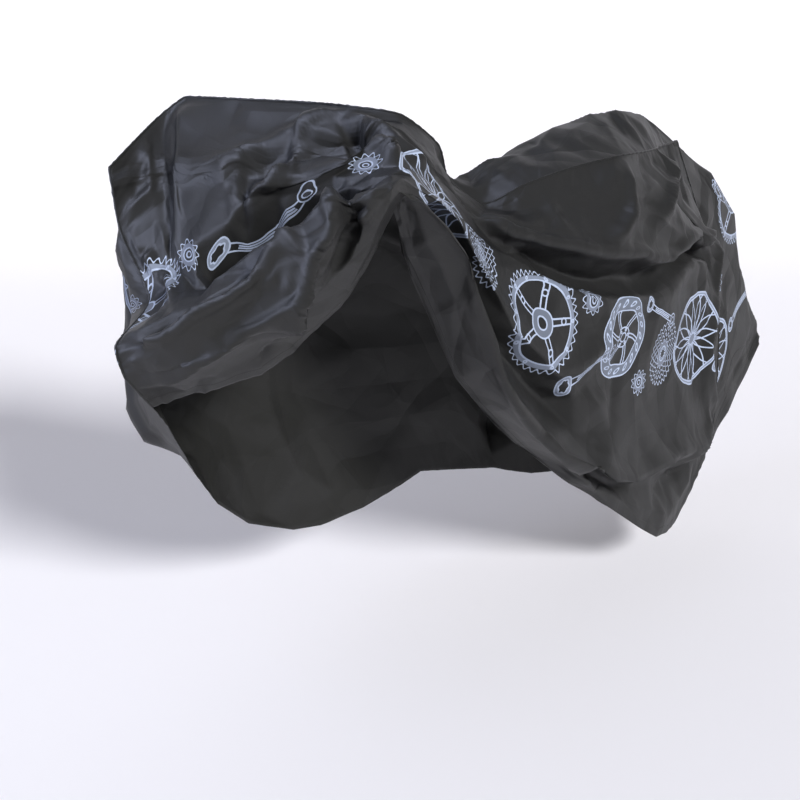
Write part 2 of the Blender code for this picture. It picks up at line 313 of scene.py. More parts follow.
def through(at, marks, rows, tension=TENSION, creases=0.0):
    """Lines through the rows, which lie at the marks: smooth, or bent sharply where creases is near 1."""
    k = np.clip(np.searchsorted(marks, at, side="right") - 1, 0, len(marks) - 2)
    slope = np.gradient(rows, marks, axis=0) * tension
    straight = np.diff(rows, axis=0) / np.diff(marks)[:, None, None]
    sharp = np.broadcast_to(creases, len(marks))[:, None, None]
    leave = slope[:-1] + sharp[:-1] * (straight - slope[:-1])
    reach = slope[1:] + sharp[1:] * (straight - slope[1:])
    h = (marks[k + 1] - marks[k])[:, None, None]
    t = ((at - marks[k]) / (marks[k + 1] - marks[k]))[:, None, None]
    start, end = rows[k], rows[k + 1]
    return (
        (2 * t**3 - 3 * t**2 + 1) * start
        + (t**3 - 2 * t**2 + t) * h * leave[k]
        + (3 * t**2 - 2 * t**3) * end
        + (t**3 - t**2) * h * reach[k]
    )


def surface(rows, from_along, from_down, along, down, tension=TENSION, creases=(0.0, 0.0)):
    """A grid of points at (along, down) through a coarser grid at (from_along, from_down)."""
    lines = through(along, from_along, rows, tension, creases[0])
    return through(down, from_down, lines.transpose(1, 0, 2), tension, creases[1]).transpose(1, 0, 2)


def normals(points, side):
    """The unit normal at each point of a grid; side is -1 on the near panel and 1 on the far one."""
    u = np.gradient(points, axis=0)
    v = np.gradient(points, axis=1)
    n = np.cross(u, v) * side
    return n / np.linalg.norm(n, axis=2, keepdims=True)


def hung(panel, along, down):
    """The panel's points as its table hangs it, before it has any folds."""
    creases = (SECTION_CREASES, LINE_CREASES[panel])
    return surface(SIDES[panel][0], marks_along, marks_down, along, down, creases=creases)


def smooth(x):
    """Ease from 0 to 1."""
    x = np.clip(x, 0.0, 1.0)
    return x * x * (3 - 2 * x)


def from_seams(a, d):
    """How far each point lies from the nearest seam; a and d are its millimetres along and down."""
    return np.minimum(np.minimum(a, marks_along[-1] - a), d)


marks_along = knots(near_table, far_table)
marks_down = knots(near_table.transpose(1, 0, 2), far_table.transpose(1, 0, 2))
print(f"cover {marks_along[-1]:.0f} mm along and {marks_down[-1]:.0f} mm down, on average")

# %% [markdown]
# ## Folds
#
# Folds are placed one by one. Each row of the table is one fold: a path across the panel, how far it stands
# out of the cloth, and how far it spreads to either side. A place on the path is a section number, counted
# from the front seam, and a line number, counted from the top seam. A soft fold rises and falls like a
# wave. A crease has an edge of 1: it peaks in a line, as cloth does where it was folded in its bag.

# %% The folds of both panels
SEAM_FADE = 60.0  # a fold dies away over this many millimetres as it nears a seam
END_FADE = 60.0  # a fold rises over this many millimetres from each of its ends
FOLD_END = 0.15  # the share of its height that it has at the very end
CREASE_POWER = 1.25  # a crease falls away from its peak a little faster than a plain slope
TUCKS = (
    # panel, name, path, push as (x, y, z), above, below, edge
    ("near", "recess behind the roll",
     ((2.2, 2.12), (2.7, 1.9), (3.4, 1.8), (4.4, 1.95), (5.6, 2.3)), (80, 64, -84), 54, 50, 0.35),
    ("near", "lower edge of the front sheet",
     ((3.5, 0.98), (2.8, 1.2), (2.35, 1.42), (2.1, 1.75), (1.9, 2.1)), (-22, -26, -4), 80, 22, 0.9),
    ("near", "small roll", ((3.15, 1.3), (3.8, 1.14), (4.7, 1.16), (5.5, 1.04)), (-31, -39, 2), 38, 22, 0.3),
    ("near", "hollow beside the turned hem",
     ((7.7, 3.6), (8.5, 3.62), (9.5, 3.7), (10.4, 3.78), (11.3, 3.8)), (16, 66, 8), 76, 30, 0.5),
    ("near", "turn of the hem", ((7.6, 4.95), (9.0, 4.95), (10.5, 4.95), (11.6, 4.95)),
     (32, 36, -14), 110, 60, 0.3),
)
FOLDS = (
    # panel, name, path, push, above, below, edge
    ("near", "pleat in the top", ((4.9, 0.03), (4.4, 0.38), (4.0, 0.8), (3.4, 1.3)), 25.5, 28, 30, 1),
    ("near", "second pleat", ((4.5, 0.14), (4.0, 0.5), (3.3, 0.75), (2.4, 1.02)), 15, 30, 30, 1),
    ("near", "hollow above the small roll",
     ((3.0, 1.02), (3.8, 0.82), (4.7, 0.78), (5.3, 0.7)), -24, 26, 24, 0.7),
    ("near", "hollow beside the pleat", ((4.7, 0.35), (5.1, 0.7), (5.6, 0.95)), -33, 38, 50, 0.7),
    ("near", "edge under the far bar end",
     ((2.0, 0.05), (2.05, 0.95), (1.75, 1.43), (1.5, 1.9)), 16.5, 90, 90, 0.9),
    ("near", "fold across the front facet", ((0.0, 0.72), (0.33, 1.52), (1.3, 2.37)), 19.5, 44, 36, 0.9),
    ("near", "roll",
     ((0.3, 2.65), (1.3, 2.4), (3.3, 2.21), (4.4, 2.5), (6.2, 2.84)), (-15, -14, 8), 34, 70, 0.5),
    ("near", "valley under the roll", ((0.5, 3.06), (1.6, 2.92), (2.6, 2.85), (3.8, 2.72)), -30, 38, 22, 0.8),
    ("near", "ridge of the flap",
     ((0.7, 3.3), (1.7, 3.38), (2.7, 3.16), (3.4, 3.03), (4.1, 2.86)), 27, 24, 90, 0.9),
    ("near", "flap under the roll", ((0.75, 4.3), (2.7, 3.95), (4.7, 3.5)), 21, 90, 90, 0.8),
    ("near", "crease down the flap",
     ((4.92, 2.3), (4.7, 3.06), (4.07, 3.26), (3.8, 3.55), (3.2, 4.3)), 33, 24, 110, 1),
    ("near", "gather by the grip", ((5.0, 2.7), (5.0, 3.4), (4.6, 4.1)), -27, 30, 40, 0.8),
    ("near", "ridge to the grip", ((5.4, 0.95), (5.9, 1.2), (6.66, 1.79)), 33, 44, 40, 1),
    ("near", "edge of the lobe", ((4.92, 0.08), (5.9, 0.72), (7.2, 1.4)), 18, 70, 50, 0.8),
    ("near", "lip of the saddle swag",
     ((8.6, 1.0), (9.48, 1.24), (10.34, 1.4), (11.2, 1.52), (11.9, 1.58), (12.5, 1.86), (13.9, 1.74),
      (15.2, 1.45)), 32, 120, 32, 0.9),
    ("near", "hollow of the saddle swag",
     ((9.6, 1.55), (10.5, 1.88), (11.1, 1.92), (11.8, 1.88), (12.6, 2.08), (14.6, 1.8)), -34, 40, 60, 0.5),
    ("near", "second ridge of the swag",
     ((10.0, 2.25), (11.2, 2.18), (11.8, 2.14), (12.6, 2.3), (14.6, 2.05)), 24, 36, 130, 0.9),
    ("near", "crease below the top", ((12.1, 0.15), (12.0, 1.05), (11.3, 1.45)), 18, 90, 90, 1),
    ("near", "crease from the rear corner", ((15.1, 0.2), (13.2, 0.8), (12.4, 1.4)), 24, 80, 80, 1),
    ("near", "upright fold at the rear",
     ((15.9, 1.4), (15.3, 2.09), (14.54, 2.56), (14.1, 2.98), (14.4, 3.37), (14.9, 3.75), (15.0, 4.2)),
     20, 70, 70, 0.9),
    ("near", "low swag", ((11.2, 4.05), (12.4, 3.95), (13.6, 4.0), (14.6, 3.7)), 33, 110, 34, 1),
    ("near", "hollow of the low swag",
     ((11.4, 4.2), (12.2, 4.35), (13.1, 4.4), (14.2, 4.2)), -25.5, 36, 45, 0.7),
    ("near", "fold along the hem",
     ((7.6, 3.95), (8.9, 3.99), (9.9, 4.03), (10.4, 4.1), (11.2, 4.07), (11.5, 4.2), (11.9, 4.73)),
     20, 34, 110, 1.0),
    ("near", "crease from the hem", ((10.45, 3.72), (10.97, 2.72), (11.5, 2.5)), 16.5, 140, 50, 1),
    ("near", "low crease from the hem", ((10.45, 3.78), (11.04, 3.45), (11.6, 3.38)), 13.5, 40, 70, 1),
    ("far", "fold under the bar end", ((1.8, 0.5), (2.0, 2.0), (2.4, 4.6)), 37.5, 70, 70, 0.8),
    ("far", "hollow behind the bar", ((4.0, 0.8), (4.4, 2.5), (4.6, 4.8)), -37.5, 80, 80, 0.5),
    ("far", "swag to the saddle", ((5.0, 1.3), (7.5, 2.0), (10.5, 1.5)), -33, 70, 90, 0.6),
    ("far", "fold under the saddle", ((11.0, 1.7), (10.6, 2.6), (10.2, 4.8)), 36, 80, 80, 0.9),
    ("far", "hollow by the wheel", ((12.7, 1.9), (13.0, 2.8), (13.2, 4.8)), -30, 80, 80, 0.6),
    ("far", "fold at the tail", ((14.2, 2.0), (14.4, 3.0), (14.4, 4.6)), 21, 50, 60, 0.8),
)


def on_cloth(path):
    """The places of a path, in millimetres along and down, and how far along the path each lies."""
    section, line = np.transpose(path)
    pa = np.interp(section, range(len(marks_along)), marks_along)
    pd = np.interp(line, range(len(marks_down)), marks_down)
    return pa, pd, np.concatenate(([0.0], np.cumsum(np.hypot(np.diff(pa), np.diff(pd)))))


def fold_share(path, above, below, edge, a, d):
    """How much of a fold each point takes: one on its ridge, and nothing past its reach."""
    pa, pd, length = on_cloth(path)
    best = np.full_like(a, np.inf)
    share = np.zeros_like(a)
    for i in range(len(path) - 1):
        ea, ed = pa[i + 1] - pa[i], pd[i + 1] - pd[i]
        span = math.hypot(ea, ed)
        t = np.clip(((a - pa[i]) * ea + (d - pd[i]) * ed) / span**2, 0.0, 1.0)
        oa, od = a - pa[i] - t * ea, d - pd[i] - t * ed
        dist = np.hypot(oa, od)
        reach = np.where(ea * od - ed * oa > 0, below, above)
        here = length[i] + t * span
        near_it = np.clip(1 - dist / reach, 0.0, 1.0)
        shape = (1 - edge) * smooth(near_it) + edge * near_it**CREASE_POWER
        to_end = np.minimum(here, length[-1] - here) / min(END_FADE, length[-1] / 2)
        shape = shape * (FOLD_END + (1 - FOLD_END) * smooth(to_end))
        share = np.where(dist < best, shape, share)
        best = np.minimum(best, dist)
    return share


def folded(points, side, panel, along, down, *tables):
    """The panel's points, moved by its folds: along the normal by a number, or by a whole vector."""
    a, d = np.meshgrid(along, down, indexing="ij")
    out = normals(points, side)
    total = np.zeros_like(points)
    for owner, _name, path, push, above, below, edge in (row for table in tables for row in table):
        if owner == panel:
            share = fold_share(path, above, below, edge, a, d)[:, :, None]
            total += share * (out * push if np.ndim(push) == 0 else np.array(push, dtype=float))
    return points + total * smooth(from_seams(a, d) / SEAM_FADE)[:, :, None]


print(len(TUCKS), "tucks and", len(FOLDS), "folds")

# %% [markdown]
# ## Slack that settles
#
# The tables give the cloth where it is held. What makes it look like cloth is its slack: a little more
# fabric than the shape needs, which buckles. So each panel is laid as a coarse grid, its rest lengths are
# grown by a few per cent, and Blender's cloth simulation runs for a moment. A vertex group holds the
# seams fast and the rest softly, so the panel wrinkles in place but doesn't slide off its shape.

# %% Where the cloth is full, and where it is held
CAGE_CELL = 11.0  # millimetres between the points of the simulated grid
FULLNESS = (
    # panel, what, (section, line), reach, share of the most growth
    ("near", "puckers of the front facet", (0.6, 1.3), 190, 1.0),
    ("near", "crumple by the grip", (5.1, 3.1), 110, 0.9),
    ("near", "pleat in the top", (3.9, 0.9), 120, 0.6),
    ("near", "low rear corner", (12.8, 4.5), 150, 0.8),
    ("near", "front end of the roll", (0.8, 3.6), 160, 0.6),
    ("near", "rear corner under the top", (14.5, 1.0), 150, 0.5),
    ("far", "under the far end of the bar", (2.0, 1.5), 200, 0.6),
    ("far", "behind the saddle", (13.0, 1.5), 200, 0.6),
)
SLACK_LEAST = 0.002  # growth of the smooth stretches
SLACK_MOST = 0.05  # growth of the fullest places
SEAM_HOLD = 25.0  # the seam holds the cloth within this many millimetres
SOFT_HOLD = 0.22  # how fast the rest of the panel is held


def spots(table, panel, a, d):
    """The largest share that any spot of the table gives each point."""
    share = np.zeros_like(a)
    for owner, _name, place, reach, most in table:
        if owner == panel:
            (at_a,), (at_d,), _length = on_cloth([place])
            share = np.maximum(share, most * smooth(1 - np.hypot(a - at_a, d - at_d) / reach))
    return share


def grid_object(name, points, side, *materials):
    """A sheet through a grid of points in millimetres, and the grid place of each of its vertices."""
    cells = (points.shape[0] - 1, points.shape[1] - 1)
    bm = bmesh.new()
    bmesh.ops.create_grid(bm, x_segments=cells[0], y_segments=cells[1], size=1.0)
    places = []
    for v in bm.verts:
        place = (round((v.co.x + 1) / 2 * cells[0]), round((v.co.y + 1) / 2 * cells[1]))
        places.append(place)
        v.co = Vector(points[place]) * MM - REST
    if side < 0:
        bmesh.ops.reverse_faces(bm, faces=bm.faces[:])
    return add_object(name, bm, *materials), np.array(places)


print(len(FULLNESS), "full spots, where the cloth grows by up to", f"{SLACK_MOST:.0%}")

# %% Lay both panels, with their folds
cage_along = np.linspace(0.0, marks_along[-1], round(marks_along[-1] / CAGE_CELL) + 1)
cage_down = np.linspace(0.0, marks_down[-1], round(marks_down[-1] / CAGE_CELL) + 1)
laid = {}
for panel, (_table, side) in SIDES.items():
    plain = hung(panel, cage_along, cage_down)
    laid[panel] = folded(plain, side, panel, cage_along, cage_down, TUCKS, FOLDS)
print("laid", len(cage_along), "by", len(cage_down), "points a panel")

# %% Let the slack settle
SETTLE_FRAMES = 16


def add_cloth(obj):
    """The cloth modifier of one panel: thin coated polyester, which bends easily and hardly stretches."""
    modifier = obj.modifiers.new("cloth", "CLOTH")
    cloth = modifier.settings
    cloth.quality = 6
    cloth.mass = 0.3
    cloth.tension_stiffness = 40.0
    cloth.compression_stiffness = 40.0
    cloth.shear_stiffness = 8.0
    cloth.bending_stiffness = 5.0
    cloth.bending_damping = 0.5
    cloth.vertex_group_mass = "hold"
    cloth.pin_stiffness = 1.0
    cloth.vertex_group_shrink = "full"
    cloth.shrink_min = -SLACK_LEAST
    cloth.shrink_max = -SLACK_MOST
    cloth.effector_weights.gravity = 0.1
    modifier.point_cache.frame_start = 1
    modifier.point_cache.frame_end = SETTLE_FRAMES + 1


a, d = np.meshgrid(cage_along, cage_down, indexing="ij")
hold = SOFT_HOLD + (1 - SOFT_HOLD) * smooth(1 - from_seams(a, d) / SEAM_HOLD)
cages = {}
for panel, (_table, side) in SIDES.items():
    obj, places = grid_object("cage", laid[panel], side)
    for group, weights in (("hold", hold), ("full", spots(FULLNESS, panel, a, d))):
        vertices = obj.vertex_groups.new(name=group)
        for index, place in enumerate(places):
            vertices.add([index], float(weights[tuple(place)]), "REPLACE")
    add_cloth(obj)
    cages[panel] = (obj, places)
for moment in range(1, SETTLE_FRAMES + 1):
    bpy.context.scene.frame_set(moment)
depsgraph = bpy.context.evaluated_depsgraph_get()
for panel, (obj, places) in cages.items():
    settled = obj.evaluated_get(depsgraph).data
    moved = laid[panel].copy()
    for v, place in zip(settled.vertices, places):
        moved[tuple(place)] = (v.co + REST) / MM
    shift = np.linalg.norm(moved - laid[panel], axis=2)
    print(panel, f"panel settled by {shift.mean():.1f} mm, and by {shift.max():.1f} mm at most")
    laid[panel] = moved
for obj, _places in cages.values():
    bpy.data.objects.remove(obj)
bpy.context.scene.frame_set(1)

# %% [markdown]
# ## The finished sheets
#
# A finer grid now runs smoothly through the settled one, and takes what the coarse grid couldn't hold.
# First come small creases, in rows like those of the folds: crumples where the cloth is gathered, placed
# one by one, and faint straight lines in all directions from the bag it was packed in, placed by a seed. Each
# sharp fold also gets a crisp line along its ridge.

# %% Small creases
CREASES = (
    # panel, name, path, height, above, below, edge
    ("near", "facet crinkle 1", ((0.57, 0.06), (0.7, 0.4), (0.85, 0.75)), 7.5, 16, 16, 0.8),
    ("near", "facet crinkle 2", ((0.72, 0.2), (0.8, 0.8), (0.85, 1.35)), 9, 18, 12, 0.8),
    ("near", "facet crinkle 3", ((0.24, 0.39), (0.3, 0.7), (0.33, 1.05)), 7.5, 16, 14, 0.8),
    ("near", "facet crinkle 4", ((0.7, 1.0), (0.85, 1.4), (1.05, 1.85)), 9, 14, 18, 0.8),
    ("near", "facet crinkle 5", ((0.75, 1.45), (1.0, 1.7), (1.1, 2.0)), 7.5, 14, 14, 0.8),
    ("near", "pleat line", ((4.75, 0.25), (4.2, 0.62), (3.7, 1.05)), -10.5, 12, 14, 0.7),
    ("near", "line across the front sheet", ((2.45, 1.02), (2.8, 0.92), (3.3, 0.9)), 6, 20, 20, 0.9),
    ("near", "mouth of the small roll", ((3.2, 0.95), (3.15, 1.15), (3.12, 1.4)), -24, 18, 24, 0.5),
    ("near", "diamond, upper", ((3.6, 2.85), (3.86, 3.22), (3.62, 3.3)), 9, 26, 20, 1),
    ("near", "diamond, lower", ((3.62, 3.28), (3.5, 3.65)), 7.5, 22, 22, 1),
    ("near", "diamond, side", ((3.0, 3.24), (3.6, 3.28)), 6, 22, 22, 1),
    ("near", "star by the grip 1", ((5.0, 2.75), (5.23, 3.24), (5.7, 3.65)), 10.5, 18, 18, 1),
    ("near", "star by the grip 2", ((4.9, 3.45), (5.23, 3.24), (5.55, 3.2)), 9, 16, 16, 1),
    ("near", "star by the grip 3", ((5.23, 3.24), (5.1, 3.8)), -9, 16, 16, 0.8),
    ("near", "saddle star 1", ((12.19, 0.99), (11.75, 1.2), (11.27, 1.45)), 9, 34, 26, 1),
    ("near", "saddle star 2", ((12.19, 0.99), (12.8, 0.63)), 9, 30, 26, 1),
    ("near", "saddle star 3", ((12.19, 0.99), (12.4, 1.29), (12.74, 1.8)), 9, 26, 26, 1),
    ("near", "line below the top 1", ((9.7, 0.1), (9.95, 0.5)), 6, 22, 22, 1),
    ("near", "line below the top 2", ((10.38, 0.3), (10.55, 0.8), (10.68, 1.31)), 7.5, 26, 22, 1),
    ("near", "rear corner line", ((15.64, 0.1), (15.3, 0.6), (15.0, 1.2)), 9, 22, 22, 0.9),
    ("near", "upright line from the bag", ((11.45, 2.6), (11.55, 3.0), (11.61, 3.6)), -5.25, 24, 24, 1),
    ("near", "corner crumple 1", ((12.56, 4.2), (12.4, 4.5)), 9, 20, 16, 1),
    ("near", "corner crumple 2", ((12.87, 4.4), (13.04, 4.75)), 9, 16, 16, 1),
)
SHARP_FROM = 0.6  # a fold with at least this much edge gets a crisp line along its ridge
SHARP_SHARE = 0.36  # the share of its height that the line adds
SHARP_REACH = 24.0
BAG_LINES = 80  # on each panel
BAG_LINE_HEIGHT = (1.4, 4.0)
BAG_LINE_LENGTH = (90.0, 360.0)
BAG_LINE_REACH = (24.0, 120.0)  # how wide the flat cloth is on each side of such a line


def bag_lines(panel, seed):
    """Rows like those of CREASES, for faint straight lines in all directions."""
    rng = np.random.default_rng(seed)
    size = (marks_along[-1], marks_down[-1])
    rows = []
    for number in range(BAG_LINES):
        length = rng.uniform(*BAG_LINE_LENGTH)
        turn = rng.uniform(0, math.pi)
        middle = rng.uniform((0.0, 0.0), size)
        reach = np.array((math.cos(turn), math.sin(turn))) * length / 2
        ends = np.clip((middle - reach, middle + reach), 0.0, size)
        sections = np.interp(ends[:, 0], marks_along, range(len(marks_along)))
        lines = np.interp(ends[:, 1], marks_down, range(len(marks_down)))
        height = rng.uniform(*BAG_LINE_HEIGHT) * rng.choice((-1, 1))
        reaches = rng.uniform(*BAG_LINE_REACH, 2)
        rows.append((panel, f"bag line {number}", tuple(zip(sections, lines)), height, *reaches, 1.0))
    return rows


def crisp_ridges():
    """A narrow crease along the ridge of each sharp fold, as rows like those of CREASES."""
    return [
        (owner, name, path, np.multiply(SHARP_SHARE, push), SHARP_REACH, SHARP_REACH, 1.0)
        for owner, name, path, push, _above, _below, edge in FOLDS
        if edge >= SHARP_FROM
    ]


print(len(CREASES), "creases by hand,", len(crisp_ridges()), "crisp ridges and", BAG_LINES, "lines a panel")

# %% [markdown]
# ### Puckers
#
# Sewing thread draws the cloth in a little, so small waves stand along both sides of a seam and above the
# hem, and die away into the panel. They are sums of a few sines of unlike length, which never repeat.

# %% Puckers along the seams and the hem
PUCKER_HEIGHT = {"top": 0.5, "front": 1.0, "rear": 0.6, "hem": 0.5}
PUCKER_WAVES = (16.0, 46.0)  # their shortest and longest wave, in millimetres
PUCKER_REACH = 26.0  # how far they run into the panel
PUCKER_SWELL = 0.6  # that reach swells and shrinks by this share of it
PUCKER_SWELL_WAVES = (90.0, 300.0)  # in waves this long
PUCKER_LEAST = 8.0  # but it is never less than this
PUCKER_SLANT = 0.35  # how far a wave leans for each millimetre from the seam
SEWN_FLAT = 7.0  # at the seam itself they are held flat, and are free this far from it
WAVES = 7  # sines in one ripple


def ripple(at, seed, shortest, longest):
    """A wandering wave that stays mostly between -1 and 1, of a few wavelengths in millimetres."""
    rng = np.random.default_rng(seed)
    lengths = rng.uniform(shortest, longest, WAVES)
    turns = rng.uniform(0, 2 * math.pi, WAVES)
    return sum(np.sin(2 * math.pi * at / length + turn) for length, turn in zip(lengths, turns)) * 2 / WAVES


def pucker_height(along, down, seed):
    """The small waves beside the seams and above the hem."""
    a, d = np.meshgrid(along, down, indexing="ij")
    total = np.zeros_like(a)
    edges = (("top", d, a), ("front", a, d), ("rear", a[-1, 0] - a, d), ("hem", d[0, -1] - d, a))
    for number, (edge, away, run) in enumerate(edges):
        wave = ripple(run + PUCKER_SLANT * away, seed + number, *PUCKER_WAVES)
        swell = PUCKER_SWELL * ripple(run, seed + 40 + number, *PUCKER_SWELL_WAVES)
        fade = np.exp(-away / np.maximum(PUCKER_REACH * (1 + swell), PUCKER_LEAST))
        hold = smooth(away / SEWN_FLAT) if edge != "hem" else 1.0
        total += PUCKER_HEIGHT[edge] * wave * fade * hold
    return total


print("puckers up to", max(PUCKER_HEIGHT.values()), "mm high, for", PUCKER_REACH, "mm from a seam")

# %% [markdown]
# ### Flat facets
#
# A stiff coat lets thin cloth bend along lines but hardly stretch, so between its creases it lies in flat
# facets, where a knitted cloth would be round. Corners are strewn over the panel, with rows of them along
# the ridge of each fold and at its feet, a Delaunay net joins them into triangles, and the cloth is drawn
# flat between the corners. Where the cloth is full, a second net of small facets crumples it.

# %% Facets between the folds
FACET_SPACE = 64.0  # millimetres between the corners of the facets, on average
RIDGE_STEP = 48.0  # the same along the ridge of a fold
RIDGE_EDGE = 0.2  # folds with at least this much edge are edges of the facets
FOOT_AT = (0.75, 1.0)  # a fold's feet lie at this share of its reach
JITTER = 0.42  # how far a corner is strewn from its place in an even grid, as a share of the grid's cell
FACET_LEAST = 0.37  # no other corner lies nearer than this share of the space
FACET_MERGE = 0.5  # corners nearer to each other than this many millimetres are one
FACET_SEAM = 34.0  # the facets fade out over this distance from a seam
UNEVEN = 1.8  # how far a facet's corner stands off the smooth surface, in millimetres
UNEVEN_MORE = 2.6  # the same, over that, where the cloth is full
CRUMPLE_SPACE = 23.0  # the space between the corners of the small facets, where the cloth is full
CRUMPLE = 1.5  # how far they stand off, in millimetres


def facet_net(panel, seed, space, folds):
    """Corners of flat facets, as (along, down) in millimetres, and the triangles between them."""
    rng = np.random.default_rng(seed)
    ends = np.array((marks_along[-1], marks_down[-1]))
    corners = [(-1.0, -1.0)]  # one off the sheet, to measure the first ones from; it is dropped at the end
    edges, feet = [], []
    for owner, _name, path, _push, above, below, edge in folds:
        if owner != panel or edge < RIDGE_EDGE:
            continue
        pa, pd, length = on_cloth(path)
        stops = np.linspace(0.0, length[-1], max(2, round(length[-1] / RIDGE_STEP) + 1))
        ridge = np.stack((np.interp(stops, length, pa), np.interp(stops, length, pd)), axis=1)
        edges += [(i, i + 1) for i in range(len(corners), len(corners) + len(ridge) - 1)]
        corners += list(ridge)
        run = np.gradient(ridge, axis=0)
        square = np.stack((-run[:, 1], run[:, 0]), axis=1) / np.linalg.norm(run, axis=1, keepdims=True)
        for way, reach in ((1, below), (-1, above)):
            feet += list(ridge + square * way * reach * rng.uniform(*FOOT_AT, (len(ridge), 1)))
    columns, rows = (round(end / space) for end in ends)
    for i in range(columns + 1):
        for j in range(rows + 1):
            inner = (0 < i < columns, 0 < j < rows)
            jitter = rng.uniform(-JITTER, JITTER, 2) * inner
            feet.append(((i + jitter[0]) / columns, (j + jitter[1]) / rows) * ends)
    for spot in feet:
        on_rim = np.isclose(spot * (ends - spot), 0.0).any()
        nearest = np.hypot(*(np.array(corners) - spot).T).min()
        if on_rim or (nearest > FACET_LEAST * space and (spot > 0).all() and (spot < ends).all()):
            corners.append(spot)
    edges = [(start - 1, end - 1) for start, end in edges]
    net = delaunay_2d_cdt([Vector(c) for c in corners[1:]], edges, [], 0, FACET_MERGE)
    return np.array([tuple(v) for v in net[0]]), net[2]


def faceted(points, side, along, down, corners, triangles, lift):
    """The grid of points, drawn flat between the corners, which stand off the surface by the lift."""
    at_a = np.abs(along[:, None] - corners[:, 0]).argmin(axis=0)
    at_d = np.abs(down[:, None] - corners[:, 1]).argmin(axis=0)
    places = points[at_a, at_d] + normals(points, side)[at_a, at_d] * lift[:, None]
    flat = points.copy()
    for triangle in triangles:
        a, d = at_a[triangle], at_d[triangle]
        whole = (d[1] - d[2]) * (a[0] - a[2]) + (a[2] - a[1]) * (d[0] - d[2])
        if whole == 0:
            continue
        i, j = np.mgrid[a.min() : a.max() + 1, d.min() : d.max() + 1]
        first = ((d[1] - d[2]) * (i - a[2]) + (a[2] - a[1]) * (j - d[2])) / whole
        second = ((d[2] - d[0]) * (i - a[2]) + (a[0] - a[2]) * (j - d[2])) / whole
        share = np.stack((first, second, 1 - first - second), axis=-1)
        inside = share.min(axis=-1) > -1e-6
        flat[i[inside], j[inside]] = share[inside] @ places[triangle]
    return flat


# %% The finished grids
CELL = 5.5  # millimetres between their points
fine_along = np.linspace(0.0, marks_along[-1], round(marks_along[-1] / CELL) + 1)
fine_down = np.linspace(0.0, marks_down[-1], round(marks_down[-1] / CELL) + 1)
a, d = np.meshgrid(fine_along, fine_down, indexing="ij")
off_seam = smooth(from_seams(a, d) / FACET_SEAM)[:, :, None]
fine = {}
bare = {}
for number, (panel, (_table, side)) in enumerate(SIDES.items()):
    points = surface(laid[panel], cage_along, cage_down, fine_along, fine_down, tension=1.0)
    lines = (CREASES, crisp_ridges(), bag_lines(panel, 5 + number))
    points = folded(points, side, panel, fine_along, fine_down, *lines)
    points += normals(points, side) * pucker_height(fine_along, fine_down, 11 + 7 * number)[:, :, None]

    bare[panel] = hung(panel, fine_along, fine_down)
    before = folded(bare[panel], side, panel, fine_along, fine_down, TUCKS, FOLDS)
    corners, triangles = facet_net(panel, 31 + number, FACET_SPACE, TUCKS + FOLDS)
    full = spots(FULLNESS, panel, corners[:, 0], corners[:, 1])
    uneven = np.random.default_rng(51 + number).normal(0.0, 1.0, len(corners)) * (UNEVEN + UNEVEN_MORE * full)
    flat = faceted(before, side, fine_along, fine_down, corners, triangles, uneven)
    points += (flat - before) * off_seam

    crumpled, small = facet_net(panel, 71 + number, CRUMPLE_SPACE, ())
    uneven = np.random.default_rng(91 + number).normal(0.0, CRUMPLE, len(crumpled))
    flat = faceted(points, side, fine_along, fine_down, crumpled, small, uneven)
    fine[panel] = points + (flat - points) * spots(FULLNESS, panel, a, d)[:, :, None] * off_seam
    print(panel, "panel:", len(corners), "facet corners,", len(triangles), "facets")
print("fine grid", len(fine_along), "by", len(fine_down))

# %% [markdown]
# ### The cloth's own measure
#
# The print and the weave belong to the flat cloth, so each sheet carries a UV map in metres of cloth. To
# find it, the draped sheet is measured on a coarse net and laid flat again: the net's points are pushed
# about in the plane until each edge and each diagonal has its true length, with the top seam kept straight.
# Near the front, small tucks under the seam take up some cloth, so the map counts that cloth as well.

# %% UV maps in metres
NET_CELL = 46.0  # millimetres between the points of the net
FLATTEN_ROUNDS = 2500
FLATTEN_STEP = 0.3
TUCKED_CLOTH = (
    # section, millimetres of cloth that small tucks under the top seam take up unseen
    (0, 90), (1, 120), (2, 152), (3, 186), (4, 206), (5, 214), (6, 192), (8, 175), (9, 165), (10, 95),
    (11, 50), (12, 10), (13, 0), (16, 0),
)
TUCKED_BY = 110.0  # they have taken it up this many millimetres down


def lengths_between(points, axis, *picks):
    """How much cloth lies between neighbouring points of the net, measured over the fine grid."""
    steps = np.linalg.norm(np.diff(points, axis=axis, prepend=points.take([0], axis=axis)), axis=2)
    return np.diff(steps.cumsum(axis=axis)[np.ix_(*picks)], axis=axis)


